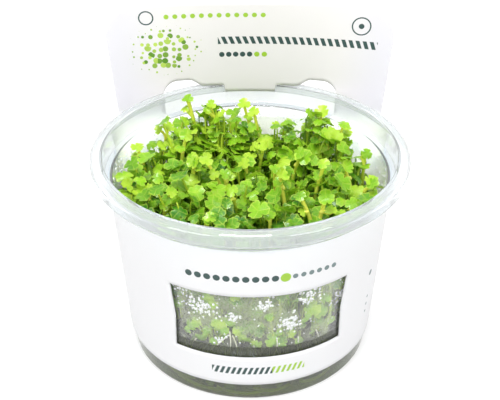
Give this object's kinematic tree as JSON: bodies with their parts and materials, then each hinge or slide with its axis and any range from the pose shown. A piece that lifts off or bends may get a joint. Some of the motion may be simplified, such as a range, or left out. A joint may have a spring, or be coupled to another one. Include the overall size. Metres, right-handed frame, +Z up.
{
  "type": "tissue culture Hydrocotyle tripartita in its cup",
  "caption": "Tissue-culture Hydrocotyle tripartita: three-lobed plantlets on gel in a clear flanged cup, with a white card sleeve and header.",
  "frame": {"origin": "centre of the cup's flat base, on the surface it stands on", "axes": "+Z up, -Y towards the sleeve's window, +Y towards the header, +X to the right seen from the front"},
  "size_m": [0.1, 0.1, 0.0993],
  "materials": {
    "clear_plastic": "clear, slightly milky",
    "nutrient_gel": "translucent, wet",
    "white_card": "satin coated card",
    "leaf": "satin leaf"
  },
  "bodies": {
    "root": {"cup": "clear_plastic", "gel": "nutrient_gel", "card_sleeve": "white_card", "plantlet_01": "leaf", "plantlet_02": "leaf", "plantlet_03": "leaf", "plantlet_04": "leaf", "plantlet_05": "leaf", "plantlet_06": "leaf", "plantlet_07": "leaf", "plantlet_08": "leaf", "plantlet_09": "leaf", "plantlet_10": "leaf", "plantlet_11": "leaf", "plantlet_12": "leaf", "plantlet_13": "leaf", "plantlet_14": "leaf", "plantlet_15": "leaf", "plantlet_16": "leaf", "plantlet_17": "leaf", "plantlet_18": "leaf", "plantlet_19": "leaf", "plantlet_20": "leaf", "plantlet_21": "leaf", "plantlet_22": "leaf", "plantlet_23": "leaf", "plantlet_24": "leaf", "plantlet_25": "leaf", "plantlet_26": "leaf", "plantlet_27": "leaf", "plantlet_28": "leaf", "plantlet_29": "leaf", "plantlet_30": "leaf", "plantlet_31": "leaf", "plantlet_32": "leaf"}
  },
  "joints": []
}
